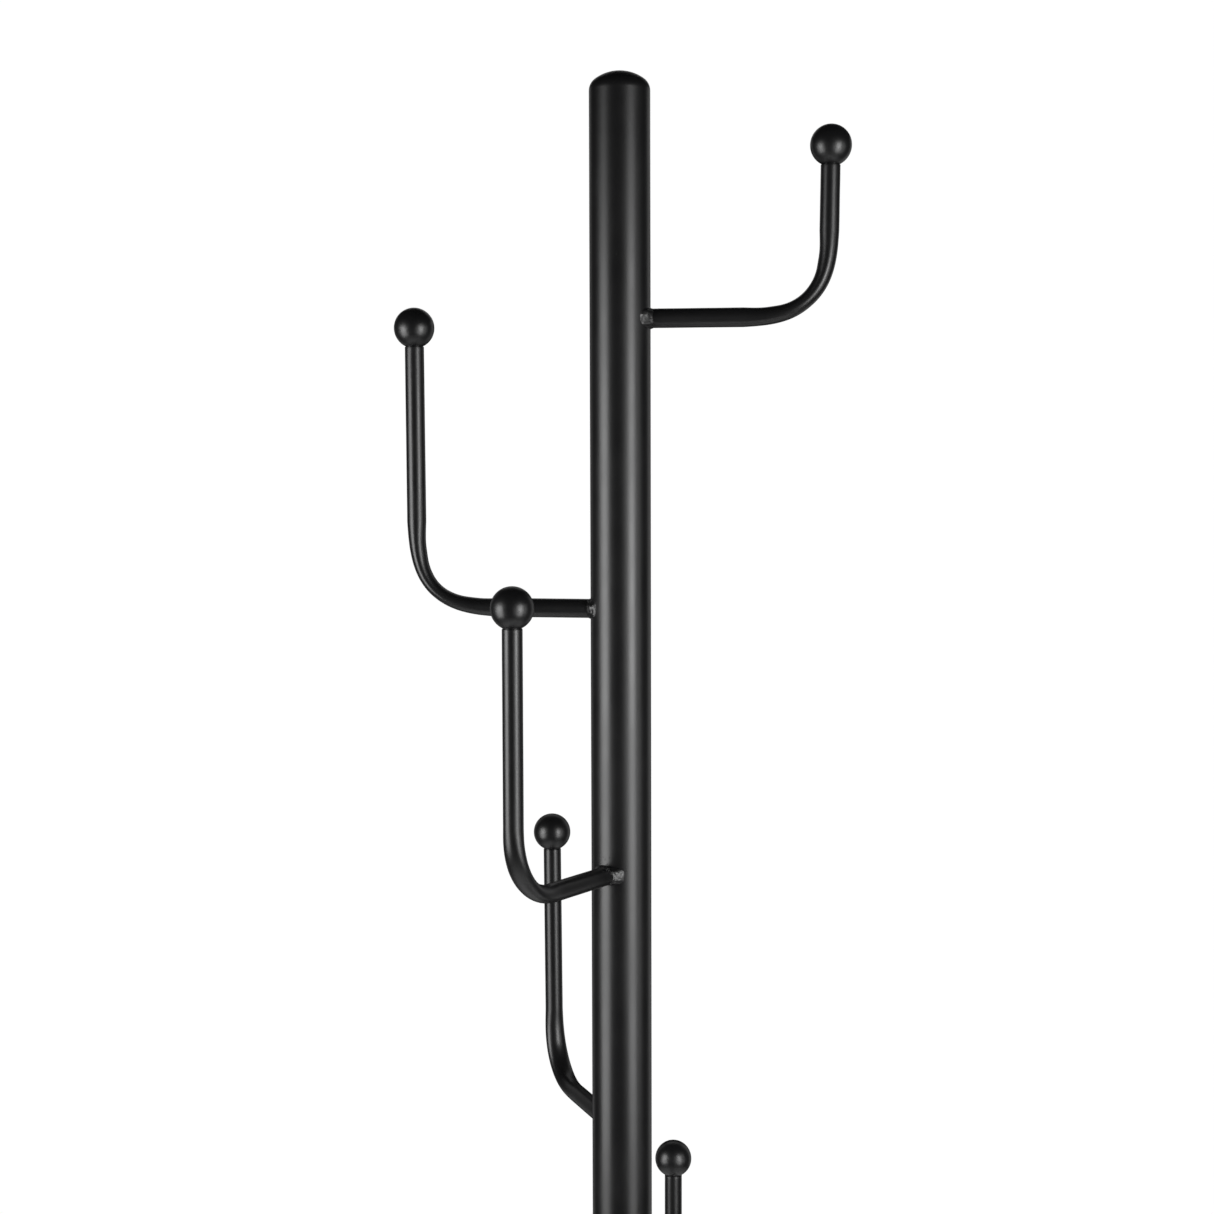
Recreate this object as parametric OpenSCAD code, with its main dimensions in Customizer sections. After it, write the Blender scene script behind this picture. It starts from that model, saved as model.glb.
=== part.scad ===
// Standing coat rack: a round steel pole in two screwed lengths on a round
// base plate, with six bent tube hooks welded around it, each tipped by a ball.
// Frame: origin on the floor under the pole's axis, +Z up, millimetres.

/* [Stand] */
// Overall height, from the floor to the top of the domed cap
total_h = 1750; // [1650:5:1850]
// Outer diameter of the pole tube
pole_d = 38; // [34:0.5:42]
// Wall thickness of the pole tube
pole_wall = 1.5; // [1:0.1:2.5]
// Length of the upper pole with its cap; the screwed joint is at its lower end
upper_len = 880; // [865:5:960]

/* [Domed cap] */
// Radius of the cap's crown
crown_r = 26.3; // [22:0.1:60]
// Radius of the cap's shoulder, where the crown meets the pole
shoulder_r = 8.7; // [4:0.1:11]
// Wall thickness of the cap
cap_wall = 1.5; // [1:0.1:2.5]

/* [Base] */
// Diameter of the base plate
base_d = 350; // [310:5:420]
// Thickness of the base plate
base_t = 6; // [6:0.5:12]
// Radius on the base plate's upper edge
base_edge_r = 2.5; // [1:0.5:4]
// Diameter of each floor pad
pad_d = 22; // [16:1:30]
// Thickness of each floor pad
pad_t = 3; // [2:0.5:5]
// Number of floor pads
pad_n = 6; // [4:1:8]

/* [All hooks] */
// Outer diameter of the hook tube
tube_d = 12; // [11:0.5:13]
// Wall thickness of the hook tube
tube_wall = 1; // [0.8:0.1:1.5]
// Centreline radius of the bend between arm and upright
bend_r = 41; // [34:1:50]
// Diameter of the ball on each hook's tip
ball_d = 25.4; // [22:0.1:30]
// How far the weld bead spreads onto the pole
weld_leg = 2.4; // [1.5:0.1:3.5]
// How far the weld bead spreads along the arm
weld_run = 3.6; // [2:0.1:5]

/* [Hook 1] */
// Direction of the arm, seen from above, in degrees from +X
h1_dir = -9.7; // [-20:0.1:0]
// Depth of the arm's axis below the top of the cap
h1_drop = 151.7; // [145:0.1:160]
// Height of the ball's centre above the arm's axis
h1_rise = 102.9; // [95:0.1:115]
// Distance from the pole's axis to the axis of the upright
h1_reach = 130.2; // [120:0.1:140]

/* [Hook 2] */
// Direction of the arm, seen from above, in degrees from +X
h2_dir = 174.9; // [165:0.1:185]
// Depth of the arm's axis below the top of the cap
h2_drop = 332.2; // [325:0.1:340]
// Height of the ball's centre above the arm's axis
h2_rise = 176; // [165:0.1:185]
// Distance from the pole's axis to the axis of the upright
h2_reach = 129.9; // [120:0.1:140]

/* [Hook 3] */
// Direction of the arm, seen from above, in degrees from +X
h3_dir = 240.7; // [230:0.1:250]
// Depth of the arm's axis below the top of the cap
h3_drop = 498.3; // [490:0.1:508]
// Height of the ball's centre above the arm's axis
h3_rise = 174.2; // [165:0.1:185]
// Distance from the pole's axis to the axis of the upright
h3_reach = 128.8; // [120:0.1:140]

/* [Hook 4] */
// Direction of the arm, seen from above, in degrees from +X
h4_dir = 111.3; // [101:0.1:121]
// Depth of the arm's axis below the top of the cap
h4_drop = 669; // [660:0.1:678]
// Height of the ball's centre above the arm's axis
h4_rise = 172; // [165:0.1:185]
// Distance from the pole's axis to the axis of the upright
h4_reach = 130.4; // [120:0.1:140]

/* [Hook 5] */
// Direction of the arm, seen from above, in degrees from +X
h5_dir = 73.4; // [63:0.1:83]
// Depth of the arm's axis below the top of the cap
h5_drop = 833.5; // [826:0.1:842]
// Height of the ball's centre above the arm's axis
h5_rise = 102.9; // [95:0.1:115]
// Distance from the pole's axis to the axis of the upright
h5_reach = 129.3; // [120:0.1:140]

/* [Hook 6] */
// Direction of the arm, seen from above, in degrees from +X
h6_dir = 300; // [290:0.1:310]
// Depth of the arm's axis below the top of the cap
h6_drop = 1000; // [990:0.1:1010]
// Height of the ball's centre above the arm's axis
h6_rise = 174; // [165:0.1:185]
// Distance from the pole's axis to the axis of the upright
h6_reach = 129.5; // [120:0.1:140]

/* [Hidden] */
$fn = 96;

// One row per hook: direction, height of the arm's axis, rise to the ball, reach.
hooks = [
  [h1_dir, total_h - h1_drop, h1_rise, h1_reach],
  [h2_dir, total_h - h2_drop, h2_rise, h2_reach],
  [h3_dir, total_h - h3_drop, h3_rise, h3_reach],
  [h4_dir, total_h - h4_drop, h4_rise, h4_reach],
  [h5_dir, total_h - h5_drop, h5_rise, h5_reach],
  [h6_dir, total_h - h6_drop, h6_rise, h6_reach]];

pole_r = pole_d / 2;
pole_bore = pole_d - 2 * pole_wall;
base_top = pad_t + base_t;
joint_z = total_h - upper_len;
plug_len = 20;
screw_d = 10;
head_d = 19.5;
head_h = 4.75;
end_chamfer = 0.5;

// The cap's crown and shoulder arcs meet where they are tangent.
cap_dz = sqrt(pow(crown_r - shoulder_r, 2) - pow(pole_r - shoulder_r, 2));
cap_h = crown_r - cap_dz;
cap_z = total_h - cap_h;
spigot_len = 12;

// The ball is cut flat where it rests on the boss of the plug in the tube's tip.
ball_r = ball_d / 2;
seat_r = 5.5;
seat_dz = sqrt(ball_r * ball_r - seat_r * seat_r);
boss_h = 0.2;
stud_d = 6;
stud_in = 10;

black = [0.075, 0.075, 0.08];
black_weld = [0.13, 0.13, 0.135];
zinc = [0.62, 0.63, 0.65];
steel = [0.45, 0.46, 0.48];
rubber = [0.16, 0.16, 0.17];

// A tube standing on z0, with small chamfers on the chosen outer ends.
module pipe(d, bore, z0, z1, c0 = 0, c1 = 0) {
  difference() {
    union() {
      translate([0, 0, z0 + c0]) cylinder(d = d, h = z1 - z0 - c0 - c1);
      if (c0 > 0) translate([0, 0, z0]) cylinder(d1 = d - 2 * c0, d2 = d, h = c0);
      if (c1 > 0) translate([0, 0, z1 - c1]) cylinder(d1 = d, d2 = d - 2 * c1, h = c1);
    }
    translate([0, 0, z0 - 1]) cylinder(d = bore, h = z1 - z0 + 2);
  }
}

// A round plug with a threaded through hole.
module plug(d, hole, z0, z1) {
  difference() {
    translate([0, 0, z0]) cylinder(d = d, h = z1 - z0);
    translate([0, 0, z0 - 1]) cylinder(d = hole, h = z1 - z0 + 2);
  }
}

// Places a piece in a hook's own frame: arm along +X, upright along +Z.
module at_hook(i) {
  rotate([0, 0, hooks[i][0]]) translate([0, 0, hooks[i][1]]) children();
}

// Moves a piece onto the axis of a hook's upright.
module on_upright(i) {
  translate([hooks[i][3], 0, 0]) children();
}

// Height of a hook tube's open end above its arm's axis.
function tip_z(i) = hooks[i][2] - seat_dz - boss_h;

// A bent rod: straight arm, quarter bend, straight upright.
module bent_rod(i, d, x0, top) {
  x1 = hooks[i][3] - bend_r;
  translate([x0, 0, 0]) rotate([0, 90, 0]) cylinder(d = d, h = x1 - x0);
  translate([x1, 0, bend_r]) rotate([90, 0, 0]) rotate([0, 0, -90])
    rotate_extrude(angle = 90) translate([bend_r, 0]) circle(d = d);
  on_upright(i) translate([0, 0, bend_r]) cylinder(d = d, h = top - bend_r);
}

// The hook tube: coped to the pole at one end, chamfered at its open tip.
module hook_tube(i) {
  c = 0.3;
  ch = 0.5;
  color(black) at_hook(i) difference() {
    union() {
      bent_rod(i, tube_d, pole_r / 2, tip_z(i) - ch);
      on_upright(i) translate([0, 0, tip_z(i) - ch]) cylinder(d1 = tube_d, d2 = tube_d - 2 * c, h = ch);
    }
    bent_rod(i, tube_d - 2 * tube_wall, pole_r / 2 - 1, tip_z(i) + 1);
    translate([0, 0, -tube_d]) cylinder(r = pole_r, h = 2 * tube_d);
  }
}

// The weld bead: a fillet ring around the arm, seated on the pole's round side.
module hook_weld(i) {
  r0 = tube_d / 2;
  xs = sqrt(pole_r * pole_r - pow(r0 + weld_leg, 2));
  color(black_weld) at_hook(i) difference() {
    rotate([0, 90, 0]) rotate_extrude()
      polygon([[r0, xs - 2], [r0 + weld_leg, xs - 2], [r0 + weld_leg, xs + 0.2],
               [r0 + 0.55 * weld_leg, pole_r + 0.35 * weld_run],
               [r0 + 0.2 * weld_leg, pole_r + 0.8 * weld_run],
               [r0, pole_r + weld_run]]);
    translate([0, 0, -tube_d * 1.5]) cylinder(r = pole_r, h = 3 * tube_d);
  }
}

// The ball, flat where it seats and threaded for its stud.
module hook_ball(i) {
  color(black) at_hook(i) on_upright(i) translate([0, 0, hooks[i][2]]) difference() {
    sphere(r = ball_r);
    translate([0, 0, -seat_dz - 10]) cylinder(r = ball_r, h = 10);
    translate([0, 0, -seat_dz - 1]) cylinder(d = stud_d, h = stud_in + 2);
  }
}

// The plug pressed into a hook tube's tip, with the boss that carries the ball.
module tip_plug(i) {
  at_hook(i) on_upright(i) translate([0, 0, tip_z(i)]) difference() {
    union() {
      translate([0, 0, -plug_len * 0.6]) cylinder(d = tube_d - 2 * tube_wall, h = plug_len * 0.6);
      cylinder(r = seat_r, h = boss_h);
    }
    translate([0, 0, -plug_len]) cylinder(d = stud_d, h = plug_len + boss_h + 1);
  }
}

// The threaded stud between plug and ball.
module ball_stud(i) {
  at_hook(i) on_upright(i) translate([0, 0, tip_z(i) + boss_h - stud_in]) cylinder(d = stud_d, h = 2 * stud_in);
}

module base_plate() {
  color(black) difference() {
    rotate_extrude() union() {
      translate([0, pad_t]) square([base_d / 2, base_t - base_edge_r]);
      translate([0, pad_t]) square([base_d / 2 - base_edge_r, base_t]);
      translate([base_d / 2 - base_edge_r, base_top - base_edge_r]) circle(r = base_edge_r);
    }
    translate([0, 0, pad_t - 1]) cylinder(d = screw_d + 0.5, h = base_t + 2);
    translate([0, 0, pad_t]) cylinder(d1 = head_d + 0.5, d2 = screw_d + 0.5, h = head_h);
  }
}

module floor_pads() {
  color(rubber) for (k = [0 : pad_n - 1])
    rotate([0, 0, k * 360 / pad_n]) translate([base_d / 2 - 20, 0, 0]) cylinder(d = pad_d, h = pad_t);
}

// Countersunk screw from below, with a hexagon socket.
module base_screw() {
  color(zinc) difference() {
    union() {
      translate([0, 0, pad_t]) cylinder(d1 = head_d, d2 = screw_d, h = head_h);
      translate([0, 0, pad_t + head_h]) cylinder(d = screw_d, h = 24 - head_h);
    }
    translate([0, 0, pad_t - 1]) cylinder(d = 6.9, h = 4, $fn = 6);
  }
}

module lower_pole() {
  color(black) pipe(pole_d, pole_bore, base_top, joint_z, 0, end_chamfer);
}

module lower_pole_foot_plug() {
  color(steel) plug(pole_bore, screw_d, base_top, base_top + plug_len);
}

module lower_pole_top_plug() {
  color(steel) plug(pole_bore, screw_d, joint_z - plug_len, joint_z);
}

module joint_stud() {
  color(zinc) translate([0, 0, joint_z - 18]) cylinder(d = screw_d, h = 36);
}

module upper_pole_bottom_plug() {
  color(steel) plug(pole_bore, screw_d, joint_z, joint_z + plug_len);
}

module upper_pole() {
  color(black) pipe(pole_d, pole_bore, joint_z, cap_z, end_chamfer, 0);
}

// Half outline of the dome, moved inwards by o.
module dome_half(o) {
  xt = (crown_r - o) * (pole_r - shoulder_r) / (crown_r - shoulder_r);
  zc = total_h - crown_r;
  zs = zc + cap_dz;
  intersection() {
    translate([0, zc]) circle(r = crown_r - o);
    translate([0, zs]) square([xt, crown_r]);
  }
  intersection() {
    translate([pole_r - shoulder_r, zs]) circle(r = shoulder_r - o);
    translate([0, zs]) square([pole_r, crown_r]);
  }
  if (o > 0) translate([0, zs - 0.01]) square([pole_r - o, 0.02]);
}

module top_cap() {
  color(black) union() {
    difference() {
      rotate_extrude() dome_half(0);
      rotate_extrude() dome_half(cap_wall);
    }
    translate([0, 0, cap_z - spigot_len]) difference() {
      cylinder(d = pole_bore, h = spigot_len + cap_wall);
      translate([0, 0, -1]) cylinder(d = pole_bore - 2 * cap_wall, h = spigot_len + cap_wall + 2);
    }
  }
}

module hook_1_tube() { hook_tube(0); }
module hook_2_tube() { hook_tube(1); }
module hook_3_tube() { hook_tube(2); }
module hook_4_tube() { hook_tube(3); }
module hook_5_tube() { hook_tube(4); }
module hook_6_tube() { hook_tube(5); }
module hook_1_weld() { hook_weld(0); }
module hook_2_weld() { hook_weld(1); }
module hook_3_weld() { hook_weld(2); }
module hook_4_weld() { hook_weld(3); }
module hook_5_weld() { hook_weld(4); }
module hook_6_weld() { hook_weld(5); }
module hook_1_ball() { hook_ball(0); }
module hook_2_ball() { hook_ball(1); }
module hook_3_ball() { hook_ball(2); }
module hook_4_ball() { hook_ball(3); }
module hook_5_ball() { hook_ball(4); }
module hook_6_ball() { hook_ball(5); }

module hook_tip_plugs() {
  color(black) for (i = [0 : len(hooks) - 1]) tip_plug(i);
}

module ball_studs() {
  color(zinc) for (i = [0 : len(hooks) - 1]) ball_stud(i);
}

base_plate();
floor_pads();
base_screw();
lower_pole();
lower_pole_foot_plug();
lower_pole_top_plug();
joint_stud();
upper_pole_bottom_plug();
upper_pole();
top_cap();
hook_1_tube();
hook_1_weld();
hook_1_ball();
hook_2_tube();
hook_2_weld();
hook_2_ball();
hook_3_tube();
hook_3_weld();
hook_3_ball();
hook_4_tube();
hook_4_weld();
hook_4_ball();
hook_5_tube();
hook_5_weld();
hook_5_ball();
hook_6_tube();
hook_6_weld();
hook_6_ball();
hook_tip_plugs();
ball_studs();
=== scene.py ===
import math

import bmesh
import bpy
from mathutils import Matrix, Vector, noise


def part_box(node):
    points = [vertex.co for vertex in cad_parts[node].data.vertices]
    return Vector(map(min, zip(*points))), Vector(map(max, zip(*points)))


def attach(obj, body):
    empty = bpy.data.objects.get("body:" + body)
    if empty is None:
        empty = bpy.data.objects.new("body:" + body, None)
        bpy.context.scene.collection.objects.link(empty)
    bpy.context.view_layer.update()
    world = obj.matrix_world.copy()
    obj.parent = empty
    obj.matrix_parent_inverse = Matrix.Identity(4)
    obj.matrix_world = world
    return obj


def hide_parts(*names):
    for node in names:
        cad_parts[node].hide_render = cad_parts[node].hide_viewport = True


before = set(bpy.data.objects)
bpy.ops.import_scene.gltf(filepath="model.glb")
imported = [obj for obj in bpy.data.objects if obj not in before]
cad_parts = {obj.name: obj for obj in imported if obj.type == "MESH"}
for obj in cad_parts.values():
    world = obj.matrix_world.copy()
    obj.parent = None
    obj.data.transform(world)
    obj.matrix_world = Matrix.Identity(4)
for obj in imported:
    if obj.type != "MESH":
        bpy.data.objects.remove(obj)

PI = math.pi
MM = 0.001
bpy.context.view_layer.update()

# ---------------------------------------------------------------------------
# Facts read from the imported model, in metres
# ---------------------------------------------------------------------------

TUBE_R = 6.0 * MM
BORE_R = 5.0 * MM
BALL_R = 12.7 * MM
SEAT_R = 5.5 * MM
CROWN_R = 26.3 * MM
SHOULDER_R = 8.7 * MM
POLE_BORE_R = 17.5 * MM

pole_lo, pole_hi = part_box("upper_pole")
low_lo, low_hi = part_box("lower_pole")
POLE_R = 19.0 * MM
JOINT_Z = pole_lo.z
CAP_Z = pole_hi.z
TOP_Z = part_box("top_cap")[1].z
plate_lo, plate_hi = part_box("base_plate")
pads_lo, pads_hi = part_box("floor_pads")


# How each hook left the bender and the welding jig: outward and sideways lean of
# the upright in degrees, radius at the middle of the bend and length of its
# easing in mm, how far the bend squeezed the tube in and out of its own plane,
# the rise of the arm in degrees, and how far its root sits above its place in mm.
SHAPES = [
    (0.8, 0.00, 36.0, 30.5, 0.80, 1.10, -0.20, 0.0),
    (0.2, 0.07, 30.5, 43.0, 0.745, 1.09, 0.45, -0.35),
    (0.1, 0.08, 41.5, 8.0, 0.80, 1.16, 1.55, -0.85),
    (0.35, 0.28, 38.0, 18.0, 0.76, 1.18, 0.0, 0.0),
    (0.1, 0.00, 36.0, 30.0, 0.79, 1.11, 0.0, 0.0),
    (0.3, 0.05, 36.0, 30.0, 0.79, 1.11, 0.3, 0.0),
]


def hook_facts(i):
    """Centreline of a hook: where its ball, corner, arm and bend are."""
    blo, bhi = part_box("hook_%d_ball" % i)
    tlo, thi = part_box("hook_%d_tube" % i)
    lean, side, mid_r, ease, squeeze, spread, rise, root_up = SHAPES[i - 1]
    c = (blo + bhi) / 2
    ball = Vector((c.x, c.y, bhi.z - BALL_R))
    arm_z = tlo.z + TUBE_R + root_up * MM
    out = Vector((ball.x, ball.y, 0)).normalized()
    aside = Vector((-out.y, out.x, 0))
    up = Vector((0, 0, 1))
    stem = (up + out * math.tan(math.radians(lean)) + aside * math.tan(math.radians(side))).normalized()
    corner_z = arm_z + (math.hypot(ball.x, ball.y) - POLE_R) * math.tan(math.radians(rise))
    corner = ball - stem * ((ball.z - corner_z) / stem.z)
    reach = math.hypot(corner.x, corner.y)
    u = Vector((corner.x, corner.y, 0)) / reach
    root = u * POLE_R + up * arm_z
    arm = (corner - root).normalized()
    turn = math.acos(arm.dot(stem))
    n = (stem - arm * math.cos(turn)).normalized()
    # curvature rises, holds and falls along the bend
    mid_r, ease = mid_r * MM, ease * MM
    length = mid_r * turn + ease
    count = 480
    head, xs, ys = [0.0], [0.0], [0.0]
    kk = [min(1.0, s / ease, (length - s) / ease) / mid_r for s in spread_out(0.0, length, count)]
    for k in range(count):
        head.append(head[-1] + (kk[k] + kk[k + 1]) / 2 * length / count)
    head = [a * turn / head[-1] for a in head]
    for k in range(count):
        d = length / count / 2
        xs.append(xs[-1] + (math.cos(head[k]) + math.cos(head[k + 1])) * d)
        ys.append(ys[-1] + (math.sin(head[k]) + math.sin(head[k + 1])) * d)
    leg = xs[-1] - ys[-1] / math.tan(turn)
    return {
        "u": u, "n": n, "v": Vector((-u.y, u.x, 0)), "stem": stem, "ball": ball,
        "corner": corner, "root": root, "along": arm, "span": (corner - root).length,
        "arm": arm_z, "leg": leg, "length": length,
        "head": head, "xs": xs, "ys": ys, "squeeze": squeeze, "spread": spread,
        "tip": (ball - corner).length - math.sqrt(BALL_R**2 - SEAT_R**2) - 0.2 * MM,
    }


def spread_out(lo, hi, n):
    return [lo + (hi - lo) * k / n for k in range(n + 1)]


HOOKS = [hook_facts(i) for i in range(1, 7)]

# ---------------------------------------------------------------------------
# Mesh helpers
# ---------------------------------------------------------------------------


def finish_mesh(name, bm, mats, sharp=35.0):
    """Turns a bmesh into an object, smooth but for edges over the given angle."""
    bmesh.ops.recalc_face_normals(bm, faces=bm.faces)
    lim = math.radians(sharp)
    for f in bm.faces:
        f.smooth = True
    for e in bm.edges:
        if len(e.link_faces) == 2 and e.calc_face_angle(0.0) > lim:
            e.smooth = False
    me = bpy.data.meshes.new(name)
    bm.to_mesh(me)
    bm.free()
    for m in mats:
        me.materials.append(m)
    ob = bpy.data.objects.new(name, me)
    bpy.context.collection.objects.link(ob)
    return ob


def skin(bm, rings, closed_path):
    """Quads between rings of vertices; a ring of one vertex is a pole."""
    n = len(rings)
    pairs = [(k, (k + 1) % n) for k in range(n if closed_path else n - 1)]
    for a, b in pairs:
        A, B = rings[a], rings[b]
        m = max(len(A), len(B))
        for j in range(m):
            k = (j + 1) % m
            if len(A) == 1 and len(B) == 1:
                continue
            if len(A) == 1:
                bm.faces.new((A[0], B[j], B[k]))
            elif len(B) == 1:
                bm.faces.new((A[j], B[0], A[k]))
            else:
                bm.faces.new((A[j], B[j], B[k], A[k]))


def lathe(bm, profile, segs, at=Vector((0, 0, 0)), closed=True):
    """Spins a profile of (radius, height) points about Z."""
    rings = []
    for r, z in profile:
        if r < 1e-9:
            rings.append([bm.verts.new((at.x, at.y, at.z + z))])
        else:
            rings.append(
                [
                    bm.verts.new(
                        (
                            at.x + r * math.cos(2 * PI * j / segs),
                            at.y + r * math.sin(2 * PI * j / segs),
                            at.z + z,
                        )
                    )
                    for j in range(segs)
                ]
            )
    skin(bm, rings, closed)


def arc(cx, cz, r, a0, a1, n):
    """Points on an arc in the (radius, height) plane; angles from +radius, in degrees."""
    return [
        (
            cx + r * math.cos(math.radians(a0 + (a1 - a0) * k / n)),
            cz + r * math.sin(math.radians(a0 + (a1 - a0) * k / n)),
        )
        for k in range(n + 1)
    ]


# ---------------------------------------------------------------------------
# Materials, all from nodes in object space
# ---------------------------------------------------------------------------


class Tree:
    """A short way to write shader nodes."""

    def __init__(self, name):
        self.mat = bpy.data.materials.new(name)
        self.mat.use_nodes = True
        self.nt = self.mat.node_tree
        self.nt.nodes.clear()
        self.out = self.nt.nodes.new("ShaderNodeOutputMaterial")
        self.bsdf = self.nt.nodes.new("ShaderNodeBsdfPrincipled")
        self.nt.links.new(self.bsdf.outputs[0], self.out.inputs[0])
        self.coord = self.nt.nodes.new("ShaderNodeTexCoord").outputs["Object"]

    def link(self, a, b):
        self.nt.links.new(a, b)

    def noise(self, scale, detail=2.0, rough=0.5, dist=0.0, vec=None):
        n = self.nt.nodes.new("ShaderNodeTexNoise")
        n.inputs["Scale"].default_value = scale
        n.inputs["Detail"].default_value = detail
        n.inputs["Roughness"].default_value = rough
        n.inputs["Distortion"].default_value = dist
        self.link(vec or self.coord, n.inputs["Vector"])
        return n.outputs["Fac"]

    def voronoi(self, scale, feature="F1", out="Distance", vec=None, rand=1.0):
        n = self.nt.nodes.new("ShaderNodeTexVoronoi")
        n.feature = feature
        n.inputs["Scale"].default_value = scale
        n.inputs["Randomness"].default_value = rand
        self.link(vec or self.coord, n.inputs["Vector"])
        return n.outputs[out]

    def mapping(self, scale=(1, 1, 1), rot=(0, 0, 0), loc=(0, 0, 0)):
        n = self.nt.nodes.new("ShaderNodeMapping")
        n.inputs["Scale"].default_value = scale
        n.inputs["Rotation"].default_value = rot
        n.inputs["Location"].default_value = loc
        self.link(self.coord, n.inputs["Vector"])
        return n.outputs[0]

    def ramp(self, fac, stops, interp="LINEAR"):
        n = self.nt.nodes.new("ShaderNodeValToRGB")
        n.color_ramp.interpolation = interp
        el = n.color_ramp.elements
        while len(el) < len(stops):
            el.new(0.5)
        for e, (p, c) in zip(el, stops):
            e.position = p
            e.color = (c[0], c[1], c[2], 1) if not isinstance(c, float) else (c, c, c, 1)
        self.link(fac, n.inputs[0])
        return n.outputs[0]

    def range(self, fac, a, b, c, d, clamp=True):
        n = self.nt.nodes.new("ShaderNodeMapRange")
        n.clamp = clamp
        for k, v in zip(("From Min", "From Max", "To Min", "To Max"), (a, b, c, d)):
            n.inputs[k].default_value = v
        self.link(fac, n.inputs["Value"])
        return n.outputs[0]

    def math(self, op, a, b=None, clamp=False):
        n = self.nt.nodes.new("ShaderNodeMath")
        n.operation = op
        n.use_clamp = clamp
        for k, v in enumerate((a, b)):
            if v is None:
                continue
            if isinstance(v, (int, float)):
                n.inputs[k].default_value = v
            else:
                self.link(v, n.inputs[k])
        return n.outputs[0]

    def mix(self, fac, a, b):
        n = self.nt.nodes.new("ShaderNodeMix")
        n.data_type = "RGBA"
        for sock, v in (("Factor", fac),):
            if isinstance(v, (int, float)):
                n.inputs[0].default_value = v
            else:
                self.link(v, n.inputs[0])
        for k, v in ((6, a), (7, b)):
            if isinstance(v, tuple):
                n.inputs[k].default_value = (*v, 1)
            else:
                self.link(v, n.inputs[k])
        return n.outputs[2]

    def bump(self, height, strength, distance, normal=None):
        n = self.nt.nodes.new("ShaderNodeBump")
        n.inputs["Strength"].default_value = strength
        n.inputs["Distance"].default_value = distance
        self.link(height, n.inputs["Height"])
        if normal is not None:
            self.link(normal, n.inputs["Normal"])
        return n.outputs[0]


def powder_coat(name, lift=1.0, rough=0.33, peel=1.0):
    """Satin black powder coat: fine orange peel, a few paint nibs, faint dust."""
    t = Tree(name)
    # colour: almost even black, a hair lighter in soft patches and on dust
    patches = t.noise(14.0, 3.0, 0.55)
    base = t.ramp(
        patches,
        [
            (0.30, (0.0036 * lift, 0.0036 * lift, 0.0038 * lift)),
            (0.72, (0.0048 * lift, 0.0048 * lift, 0.0051 * lift)),
        ],
    )
    specks = t.voronoi(420.0)
    dust = t.range(specks, 0.035, 0.075, 1.0, 0.0)
    some = t.range(t.noise(60.0, 1.0), 0.58, 0.66, 0.0, 1.0)
    dust = t.math("MULTIPLY", dust, some)
    col = t.mix(t.math("MULTIPLY", dust, 0.35), base, (0.05, 0.05, 0.052))
    t.link(col, t.bsdf.inputs["Base Color"])
    # roughness: satin, broken up a little at two scales
    r1 = t.range(t.noise(30.0, 4.0, 0.6), 0.3, 0.7, rough - 0.03, rough + 0.03)
    r2 = t.range(t.noise(1500.0, 2.0), 0.3, 0.7, -0.02, 0.02, clamp=False)
    t.link(t.math("ADD", r1, r2, clamp=True), t.bsdf.inputs["Roughness"])
    # relief: orange peel about 1.5 mm across, finer grain on top, rare nibs
    peel_h = t.noise(650.0, 2.0, 0.5)
    n1 = t.bump(peel_h, 0.35 * peel, 0.00005)
    grain = t.noise(2600.0, 2.0, 0.6)
    n2 = t.bump(grain, 0.30 * peel, 0.000012, n1)
    nib = t.range(t.voronoi(95.0), 0.0, 0.07, 1.0, 0.0)
    nib_on = t.range(t.noise(21.0, 1.0), 0.62, 0.68, 0.0, 1.0)
    n3 = t.bump(t.math("MULTIPLY", nib, nib_on), 0.6, 0.00012, n2)
    t.link(n3, t.bsdf.inputs["Normal"])
    t.bsdf.inputs["IOR"].default_value = 1.5
    t.bsdf.inputs["Specular IOR Level"].default_value = 0.5
    return t.mat


def bare_steel(name):
    """Turned mild steel, grey with fine rings and a trace of oil."""
    t = Tree(name)
    g = t.noise(500.0, 3.0, 0.6, vec=t.mapping(scale=(1, 1, 12)))
    t.link(
        t.ramp(g, [(0.3, (0.30, 0.30, 0.315)), (0.7, (0.43, 0.435, 0.45))]),
        t.bsdf.inputs["Base Color"],
    )
    t.bsdf.inputs["Metallic"].default_value = 1.0
    t.link(t.range(t.noise(80.0, 3.0), 0.3, 0.7, 0.32, 0.48), t.bsdf.inputs["Roughness"])
    t.link(t.bump(g, 0.35, 0.00005), t.bsdf.inputs["Normal"])
    return t.mat


def zinc(name):
    """Bright zinc plate: cool grey, a faint straw and blue bloom, fine pitting."""
    t = Tree(name)
    bloom = t.noise(180.0, 3.0, 0.5)
    t.link(
        t.ramp(
            bloom,
            [
                (0.30, (0.52, 0.535, 0.56)),
                (0.55, (0.60, 0.60, 0.59)),
                (0.78, (0.55, 0.58, 0.62)),
            ],
        ),
        t.bsdf.inputs["Base Color"],
    )
    t.bsdf.inputs["Metallic"].default_value = 1.0
    t.link(t.range(t.noise(300.0, 3.0), 0.3, 0.7, 0.24, 0.38), t.bsdf.inputs["Roughness"])
    t.link(t.bump(t.noise(1800.0, 2.0), 0.25, 0.00003), t.bsdf.inputs["Normal"])
    return t.mat


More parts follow.
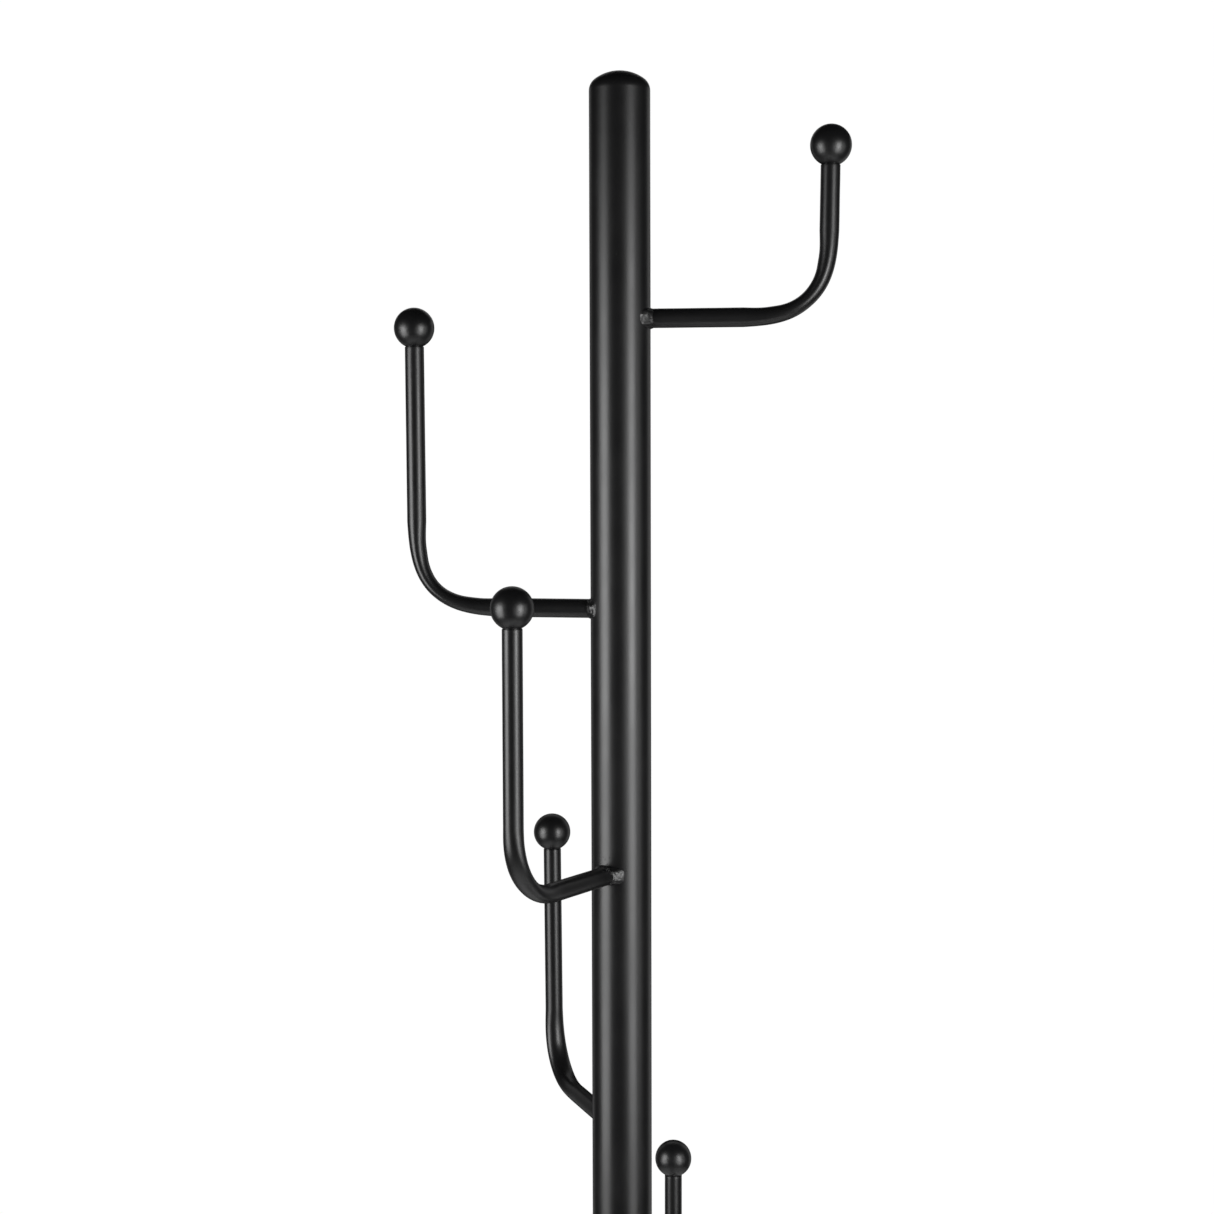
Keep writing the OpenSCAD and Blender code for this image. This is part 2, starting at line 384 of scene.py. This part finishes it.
def rubber(name):
    """Matt dark rubber with a moulded grain and paler scuffed spots."""
    t = Tree(name)
    scuff = t.range(t.noise(140.0, 4.0, 0.65), 0.52, 0.75, 0.0, 1.0)
    t.link(
        t.mix(scuff, (0.018, 0.018, 0.019), (0.045, 0.044, 0.043)),
        t.bsdf.inputs["Base Color"],
    )
    t.link(t.range(scuff, 0.0, 1.0, 0.72, 0.88), t.bsdf.inputs["Roughness"])
    g = t.voronoi(1400.0)
    t.link(t.bump(g, 0.5, 0.00006), t.bsdf.inputs["Normal"])
    return t.mat


COAT = powder_coat("satin_black_powder_coat")
COAT_WELD = powder_coat("satin_black_powder_coat_on_weld", lift=1.1, rough=0.33, peel=1.6)
COAT_BASE = powder_coat("satin_black_powder_coat_on_plate", lift=1.1, rough=0.38, peel=1.3)
STEEL = bare_steel("turned_steel")
ZINC = zinc("zinc_plate")
RUBBER = rubber("matt_rubber")


def node_material(node, mat):
    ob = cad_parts[node]
    me = ob.data
    me.materials.clear()
    me.materials.append(mat)


# ---------------------------------------------------------------------------
# Pole, cap, base
# ---------------------------------------------------------------------------


def keep(ob, node):
    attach(ob, "root")
    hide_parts(node)
    return ob


def build_pole(name, node, z0, z1, c0, c1, nibs=()):
    bm = bmesh.new()
    out = []
    if c0 > 0:
        out += [(POLE_R - c0, z0), (POLE_R - 0.35 * c0, z0 + 0.30 * c0), (POLE_R, z0 + c0)]
    else:
        out += [(POLE_R, z0)]
    zs = spread_out(z0 + c0, z1 - c1, 24)
    out += [(POLE_R, z) for z in zs[1:-1]]
    if c1 > 0:
        out += [(POLE_R, z1 - c1), (POLE_R - 0.35 * c1, z1 - 0.30 * c1), (POLE_R - c1, z1)]
    else:
        out += [(POLE_R, z1)]
    inner = [(POLE_BORE_R, z1), (POLE_BORE_R, z0)]
    lathe(bm, out + inner, 192)
    for a, z, r in nibs:
        # a grain of dust under the coat, half sunk
        at = Vector((math.cos(math.radians(a)), math.sin(math.radians(a)), 0)) * (POLE_R - 0.55 * r * MM)
        m = Matrix.Translation(at + Vector((0, 0, z))) @ Matrix.Rotation(math.radians(a), 4, "Z")
        bmesh.ops.create_icosphere(
            bm, subdivisions=3, radius=r * MM, matrix=m @ Matrix.Diagonal((1.0, 1.0, 1.6, 1.0))
        )
    return keep(finish_mesh(name, bm, [COAT], 60.0), node)


def build_cap():
    bm = bmesh.new()
    dx, d = POLE_R - SHOULDER_R, CROWN_R - SHOULDER_R
    dz = math.sqrt(d * d - dx * dx)
    zc = TOP_Z - CROWN_R
    zs = zc + dz
    a = math.degrees(math.atan2(dz, dx))
    prof = arc(0, zc, CROWN_R, 90, a, 36)
    prof += arc(dx, zs, SHOULDER_R, a, 0, 20)[1:]
    prof[0] = (0.0, TOP_Z)
    prof[-1] = (POLE_R, CAP_Z)
    w = 1.5 * MM
    prof += [(POLE_BORE_R, CAP_Z), (POLE_BORE_R, CAP_Z - 12 * MM), (POLE_BORE_R - w, CAP_Z - 12 * MM)]
    prof += [(POLE_BORE_R - w, CAP_Z + 1.2 * MM)]
    inner = arc(0, zc, CROWN_R - w, a, 90, 16)
    inner[-1] = (0.0, TOP_Z - w)
    prof += [p for p in inner if p[0] < POLE_BORE_R - w - 0.2 * MM]
    lathe(bm, prof, 192, closed=False)
    return keep(finish_mesh("domed_cap", bm, [COAT], 40.0), "top_cap")


def build_plate():
    bm = bmesh.new()
    R = (plate_hi.x - plate_lo.x) / 2
    z0, z1 = plate_lo.z, plate_hi.z
    e = 2.5 * MM
    prof = [(10.0 * MM, z0), (R - 0.5 * MM, z0), (R - 0.15 * MM, z0 + 0.15 * MM), (R, z0 + 0.5 * MM)]
    prof += arc(R - e, z1 - e, e, 0, 90, 14)
    prof += [(r, z1) for r in (R * 0.9, R * 0.7, R * 0.45, R * 0.2, 5.25 * MM)]
    prof += [(5.25 * MM, z0 + 4.75 * MM)]
    lathe(bm, prof, 256)
    return keep(finish_mesh("base_plate_disc", bm, [COAT_BASE], 30.0), "base_plate")


def build_pads():
    bm = bmesh.new()
    lo, hi = pads_lo, pads_hi
    r = 11.0 * MM
    ring = hi.x - r
    h = hi.z - lo.z
    e = 0.6 * MM
    prof = [(0.0, 0.0), (r * 0.5, 0.0), (r - e, 0.0)]
    prof += arc(r - e, e, e, -90, 0, 5)[1:]
    prof += [(r, h), (r * 0.5, h), (0.0, h)]
    for k in range(6):
        a = k * PI / 3
        lathe(bm, prof, 64, Vector((ring * math.cos(a), ring * math.sin(a), lo.z)), closed=False)
    return keep(finish_mesh("rubber_floor_pads", bm, [RUBBER], 40.0), "floor_pads")


# ---------------------------------------------------------------------------
# Hooks
# ---------------------------------------------------------------------------


def wave(t, at, width):
    return math.exp(-(((t - at) / width) ** 2))


def build_tube(i):
    """Bent tube, hollow, coped to the pole, its bend flattened by the bender."""
    h = HOOKS[i]
    u, n0, stem, root = h["along"], h["n"], h["stem"], h["root"]
    b = u.cross(n0)
    segs = 72
    seed = Vector((3.1 * i + 0.7, 9.2 - i, 4.4 + 2.3 * i))
    start = h["corner"] - u * h["leg"]
    stations = []
    for x in spread_out(1.5 * MM, h["span"] - h["leg"], 14)[:-1]:
        stations.append((root + u * x, -n0, None))
    count = len(h["head"]) - 1
    for k in range(0, count + 1, 8):
        a = h["head"][k]
        c = start + u * h["xs"][k] + n0 * h["ys"][k]
        stations.append((c, u * math.sin(a) - n0 * math.cos(a), k / count))
    out = u * math.sin(h["head"][-1]) - n0 * math.cos(h["head"][-1])
    for d in spread_out(h["leg"], h["tip"] - 2.0 * MM, 16)[1:]:
        stations.append((h["corner"] + stem * d, out, None))

    def ring(bm, c, n, t, r, outside):
        """One section: n points to the outside of the bend."""
        f = math.sin(PI * t) if t is not None else 0.0
        vs = []
        for j in range(segs):
            p = 2 * PI * j / segs
            cp, sp = math.cos(p), math.sin(p)
            flat = 1 - h["squeeze"]
            # the outside flattens a little more than the inside
            ip = r * (1 - (flat * (1.08 if cp > 0 else 0.92)) * f)
            op = r * (1 + (h["spread"] - 1) * f)
            q = c + n * (ip * cp) + b * (op * sp)
            if outside and t is not None:
                # faint wrinkles on the squeezed inner side, a flat on the outer
                inner = max(0.0, -cp) ** 2
                wr = 0.26 * wave(t, 0.22, 0.07) + 0.30 * wave(t, 0.77, 0.06) - 0.22 * wave(t, 0.48, 0.12)
                q -= n * (wr * MM * inner)
                q -= n * (0.18 * MM * wave(t, 0.45, 0.10) * max(0.0, cp) ** 2)
            if outside:
                q += n * (noise.noise(seed + q * 90.0) * 0.035 * MM)
            vs.append(bm.verts.new(q))
        return vs

    def coped(bm, r):
        vs = []
        for j in range(segs):
            p = 2 * PI * j / segs
            side = r * math.sin(p)
            x = math.sqrt(POLE_R**2 - side**2) - POLE_R - 0.2 * MM
            vs.append(bm.verts.new(root + u * x - n0 * (r * math.cos(p)) + b * side))
        return vs

    bm = bmesh.new()
    rings = [coped(bm, TUBE_R)]
    for c, n, t in stations:
        rings.append(ring(bm, c, n, t, TUBE_R, True))
    # the open tip: a small chamfer, softened where it starts
    for dz, dr in ((0.62, 0.0), (0.46, 0.02), (0.28, 0.09), (0.10, 0.24), (0.0, 0.36)):
        c = h["corner"] + stem * (h["tip"] - dz * MM)
        rings.append(ring(bm, c, out, None, TUBE_R - dr * MM, False))
    # back down the bore
    inner = [ring(bm, h["corner"] + stem * h["tip"], out, None, BORE_R, False)]
    for c, n, t in reversed(stations[::2]):
        inner.append(ring(bm, c, n, t, BORE_R, False))
    inner.append(coped(bm, BORE_R))
    skin(bm, rings + inner, True)
    ob = finish_mesh("hook_%d_bent_tube" % (i + 1), bm, [COAT], 50.0)
    return keep(ob, "hook_%d_tube" % (i + 1))


BALL_NIBS = {0: [(0.02, 0.13, 0.20)], 2: [(0.36, -0.07, 0.36), (0.31, -0.12, 0.24)], 4: [(-0.3, 0.2, 0.2)]}


def build_ball(i):
    """Ball with a flat seat, turned on a lathe, its axis in line with the upright."""
    h = HOOKS[i]
    bm = bmesh.new()
    dz = math.sqrt(BALL_R**2 - SEAT_R**2)
    a1 = math.degrees(math.asin(-dz / BALL_R))
    prof = arc(0, 0, BALL_R, 90, a1 + 1.2, 72)
    prof[0] = (0.0, BALL_R)
    prof += [(SEAT_R - 0.15 * MM, -dz), (3.2 * MM, -dz), (3.0 * MM, -dz + 0.2 * MM)]
    prof += [(3.0 * MM, -dz + 11.0 * MM), (0.0, -dz + 11.5 * MM)]
    lathe(bm, prof, 128, closed=False)
    for x, z, r in BALL_NIBS.get(i, ()):
        # a grain under the coat, on the side that faces -Y
        d = Vector((x, -math.sqrt(1 - x * x - z * z), z))
        bmesh.ops.create_icosphere(
            bm, subdivisions=3, radius=r * MM, matrix=Matrix.Translation(d * (BALL_R - 0.5 * r * MM))
        )
    tilt = Vector((0, 0, 1)).rotation_difference(h["stem"]).to_matrix().to_4x4()
    bm.transform(Matrix.Translation(h["ball"]) @ tilt)
    ob = finish_mesh("hook_%d_ball_tip" % (i + 1), bm, [COAT], 40.0)
    return keep(ob, "hook_%d_ball" % (i + 1))


# How each weld was laid, in mm: leg on the pole and run along the arm at its two
# sides, leg above and below the arm, how lumpy it is (0 to 1), the drops of
# spatter round it and their greatest radius.
WELDS = [
    (5.9, 3.5, 0.45, 0.55, 0.30, 8, 0.30),
    (7.0, 2.8, 0.15, 0.25, 0.95, 10, 0.28),
    (4.6, 4.0, 0.35, 0.20, 0.30, 90, 0.80),
    (6.0, 4.4, 0.40, 0.45, 0.45, 14, 0.34),
    (6.4, 4.6, 0.35, 0.55, 0.60, 10, 0.32),
    (6.0, 4.0, 0.45, 0.50, 0.50, 12, 0.36),
]


def build_weld(i):
    """A hand-laid weld: a broad fillet at each side of the arm, thin above and below."""
    h = HOOKS[i]
    u, v, w = h["u"], h["v"], Vector((0, 0, 1))
    side_leg, side_run, leg_up, leg_down, rough, drops, drop_r = WELDS[i]
    o = w * h["arm"]
    seed = Vector((11.3 * i + 2.1, 5.7 * i, 1.9 - 3.3 * i))
    segs, steps = 192, 28

    def pole_x(side):
        return math.sqrt(max(POLE_R**2 - side**2, 0.0))

    bm = bmesh.new()
    rings = []
    for j in range(segs):
        p = 2 * PI * j / segs
        cp, sp = math.cos(p), math.sin(p)  # cp up, sp sideways
        d = Vector((cp, sp, 0))
        n1 = noise.noise(seed + d * 1.3)
        n2 = noise.noise(seed * 1.7 + d * 2.9)
        n3 = noise.noise(seed * 0.6 + d * 6.0)
        wide = abs(sp) ** 0.60
        leg_v = (leg_up + (leg_down - leg_up) * (0.5 - 0.5 * cp) + 0.16 * n3) * MM
        leg_s = side_leg * (1 + 0.20 * n1 + 0.05 * n3) * MM
        run = (0.9 + 0.25 * n3 + (side_run - 0.9) * abs(sp) ** 0.8 * (1 + 0.22 * n2)) * MM
        side_a = TUBE_R * sp
        A = Vector((pole_x(side_a) + run, TUBE_R * cp, side_a))
        side_b = side_a + math.copysign(leg_s * wide, sp)
        high = math.copysign(abs(cp) ** (1.0 - 0.45 * abs(sp)), cp)
        B = Vector((pole_x(side_b), (TUBE_R + leg_v) * high, side_b))
        C = Vector((pole_x(side_a), TUBE_R * cp, side_a))
        out = ((A - C).normalized() + (B - C).normalized()).normalized()
        crown = (0.08 + 0.25 * rough * abs(sp) + 0.10 * n2) * MM
        fade = 0.15 + 0.85 * abs(sp)
        col = []
        for k in range(steps + 1):
            t = k / steps
            q = A.lerp(B, t)
            hump = math.sin(PI * t)
            # broad swells, then lumps, then grit; taller than they are long
            e = Vector((q.x, q.y * 0.72, q.z))
            soft = noise.noise(seed + e * 190.0) * 0.50
            lump = max(-0.25, noise.noise(seed * 1.3 + e * 400.0)) * 1.20 * rough
            grit = noise.noise(seed + q * 1300.0) * 0.05
            hgt = crown * hump + (soft + lump + grit) * fade * MM * min(1.0, 1.6 * hump)
            col.append(q + out * hgt)
        # the hidden root, just under the surfaces it is fused to
        sink = 0.12 * MM
        col.append(Vector((B.x - sink, B.y, B.z)))
        col.append(Vector((C.x - sink, C.y * (1 - 0.02), C.z * (1 - 0.02))))
        col.append(Vector((A.x, A.y * 0.98, A.z * 0.98)))
        rings.append([bm.verts.new(o + u * q.x + w * q.y + v * q.z) for q in col])
    skin(bm, rings, True)
    # spatter: small fused drops, some on the arm and a few on the pole
    for k in range(drops):
        a = noise.noise(seed + Vector((k * 2.17, 0.3, 0))) * PI * 1.1
        far = 0.5 + 0.5 * noise.noise(seed + Vector((0.7, k * 1.91, 4.0)))
        size = drop_r * (0.45 + 0.55 * min(1.0, 1.6 * abs(noise.noise(seed + Vector((k * 0.77, 8.8, 1.0)))))) * MM
        cp, sp = math.cos(a), math.sin(a)
        if k % 4:
            x = pole_x(TUBE_R * sp) + (1.2 + 12.0 * (k / drops) * far + 2.0 * far) * MM
            c = Vector((x, TUBE_R * cp, TUBE_R * sp))
        else:
            r = TUBE_R + (2.0 + 6.0 * far) * MM
            side = r * sp
            c = Vector((pole_x(side), r * cp, side))
            size *= 0.4
        mat = Matrix.Translation(o + u * c.x + w * c.y + v * c.z)
        bmesh.ops.create_icosphere(bm, subdivisions=2, radius=size, matrix=mat)
    ob = finish_mesh("hook_%d_weld_bead" % (i + 1), bm, [COAT_WELD], 70.0)
    return keep(ob, "hook_%d_weld" % (i + 1))


NIBS = [(-96.5, TOP_Z - 0.1135, 0.34), (-62.0, TOP_Z - 0.3280, 0.22), (-131.0, TOP_Z - 0.5035, 0.24)]
build_pole("upper_pole_tube", "upper_pole", JOINT_Z, CAP_Z, 0.5 * MM, 0.0, NIBS)
build_pole("lower_pole_tube", "lower_pole", low_lo.z, low_hi.z, 0.0, 0.5 * MM)
build_cap()
build_plate()
build_pads()
for k in range(6):
    build_tube(k)
    build_ball(k)
    build_weld(k)

for name, mat in (
    ("base_screw", ZINC),
    ("joint_stud", ZINC),
    ("ball_studs", ZINC),
    ("lower_pole_foot_plug", STEEL),
    ("lower_pole_top_plug", STEEL),
    ("upper_pole_bottom_plug", STEEL),
    ("hook_tip_plugs", COAT),
):
    node_material(name, mat)

# ---------------------------------------------------------------------------
# Floor, light and camera
# ---------------------------------------------------------------------------


def build_floor():
    bm = bmesh.new()
    R = 3.2
    prof = [(0.0, 0.0)] + [(R * (k / 40) ** 1.3, 0.0) for k in range(1, 41)]
    rings = []
    for r, z in prof:
        if r == 0:
            rings.append([bm.verts.new((0, 0, 0))])
        else:
            rings.append(
                [
                    bm.verts.new((r * math.cos(2 * PI * j / 96), r * math.sin(2 * PI * j / 96), z))
                    for j in range(96)
                ]
            )
    skin(bm, rings, False)
    t = Tree("pale_floor")
    g = t.noise(3.0, 4.0, 0.5)
    t.link(t.ramp(g, [(0.3, (0.87, 0.87, 0.87)), (0.7, (0.90, 0.90, 0.90))]), t.bsdf.inputs["Base Color"])
    t.bsdf.inputs["Roughness"].default_value = 0.75
    t.bsdf.inputs["Specular IOR Level"].default_value = 0.2
    t.link(t.bump(t.noise(220.0, 3.0), 0.15, 0.0004), t.bsdf.inputs["Normal"])
    # the floor fades out into the white surround
    sep = t.nt.nodes.new("ShaderNodeVectorMath")
    sep.operation = "LENGTH"
    t.link(t.coord, sep.inputs[0])
    fade = t.nt.nodes.new("ShaderNodeMapRange")
    fade.interpolation_type = "SMOOTHSTEP"
    for k, val in zip(("From Min", "From Max", "To Min", "To Max"), (0.55, 1.75, 1.0, 0.0)):
        fade.inputs[k].default_value = val
    t.link(sep.outputs["Value"], fade.inputs["Value"])
    t.link(fade.outputs[0], t.bsdf.inputs["Alpha"])
    me = bpy.data.meshes.new("studio_floor")
    bm.to_mesh(me)
    bm.free()
    me.materials.append(t.mat)
    ob = bpy.data.objects.new("studio_floor", me)
    bpy.context.collection.objects.link(ob)


build_floor()


def softbox(name, azimuth, distance, z, width, height, power, aim_z, spread_deg=180.0):
    """An area light on a circle round the pole; azimuth 0 is the camera's side."""
    a = math.radians(azimuth)
    loc = Vector((math.sin(a) * distance, -math.cos(a) * distance, z))
    li = bpy.data.lights.new(name, "AREA")
    li.shape = "RECTANGLE"
    li.size, li.size_y = width, height
    li.energy = power
    li.spread = math.radians(spread_deg)
    ob = bpy.data.objects.new(name, li)
    ob.location = loc
    ob.rotation_mode = "QUATERNION"
    ob.rotation_quaternion = (Vector((0, 0, aim_z)) - loc).to_track_quat("-Z", "Y")
    bpy.context.collection.objects.link(ob)
    return ob


# name, azimuth, width, height of the centre, height, brightness
BOXES = [
    ("left_wide", -65.0, 0.82, 1.15, 1.20, 4.05),
    ("left_core", -61.0, 0.45, 1.38, 0.45, 2.60),
    ("left_high", -62.0, 0.45, 1.85, 0.40, 0.70),
    ("right_wide", 42.0, 0.68, 1.20, 1.30, 3.97),
    ("right_core", 42.0, 0.30, 1.42, 0.45, 4.40),
    ("right_eye", 42.0, 0.40, 1.22, 0.30, 1.65),
    ("right_high", 42.0, 0.36, 1.85, 0.40, 0.35),
    ("right_side", 72.0, 0.30, 1.22, 1.10, 1.15),
    ("fill_front", 18.0, 0.27, 1.20, 0.90, 0.90),
    ("rim_left", -145.0, 0.46, 1.20, 1.80, 0.22),
    ("rim_right", 138.0, 0.70, 1.20, 1.80, 0.32),
    ("rim_top", 178.0, 1.30, 2.28, 0.85, 0.35),
]
for k, (name, azimuth, width, z, height, bright) in enumerate(BOXES):
    # each panel hangs a little behind the one before it, so none share a plane
    softbox("softbox_" + name, azimuth, 1.28 + 0.006 * k, z, width, height, 4 * width * height * bright, z)

world = bpy.data.worlds.new("studio")
bpy.context.scene.world = world
world.use_nodes = True
wt = world.node_tree
wt.nodes.clear()
w_out = wt.nodes.new("ShaderNodeOutputWorld")
path = wt.nodes.new("ShaderNodeLightPath")


def sky(value):
    n = wt.nodes.new("ShaderNodeBackground")
    n.inputs[0].default_value = (value, value, value, 1)
    n.inputs[1].default_value = 1.0
    return n.outputs[0]


dim, fill, white = sky(0.012), sky(0.25), sky(1.01)
m1 = wt.nodes.new("ShaderNodeMixShader")
m2 = wt.nodes.new("ShaderNodeMixShader")
wt.links.new(path.outputs["Is Diffuse Ray"], m1.inputs[0])
wt.links.new(dim, m1.inputs[1])
wt.links.new(fill, m1.inputs[2])
wt.links.new(path.outputs["Is Camera Ray"], m2.inputs[0])
wt.links.new(m1.outputs[0], m2.inputs[1])
wt.links.new(white, m2.inputs[2])
wt.links.new(m2.outputs[0], w_out.inputs[0])

cam_data = bpy.data.cameras.new("camera")
cam_data.sensor_width = 36.0
cam_data.lens = 36.0 * 1985.58 / 1214.0
cam_data.clip_start, cam_data.clip_end = 0.05, 50.0
cam = bpy.data.objects.new("camera", cam_data)
yaw, pitch, roll = math.radians(0.0061), math.radians(-4.1062), math.radians(-0.1714)
M = Matrix.Rotation(yaw, 3, "Z") @ Matrix.Rotation(pitch, 3, "X")
fwd, right, up = M @ Vector((0, 1, 0)), M @ Vector((1, 0, 0)), M @ Vector((0, 0, 1))
r2 = right * math.cos(roll) + up * math.sin(roll)
u2 = up * math.cos(roll) - right * math.sin(roll)
R3 = Matrix((r2, u2, -fwd)).transposed()
cam.matrix_world = Matrix.Translation(Vector((-0.00855, -1.24593, TOP_Z - 0.24211))) @ R3.to_4x4()
bpy.context.collection.objects.link(cam)
scene = bpy.context.scene
scene.camera = cam
scene.view_settings.view_transform = "Standard"
scene.view_settings.look = "None"
scene.view_settings.exposure = 0.0
scene.view_settings.gamma = 1.0
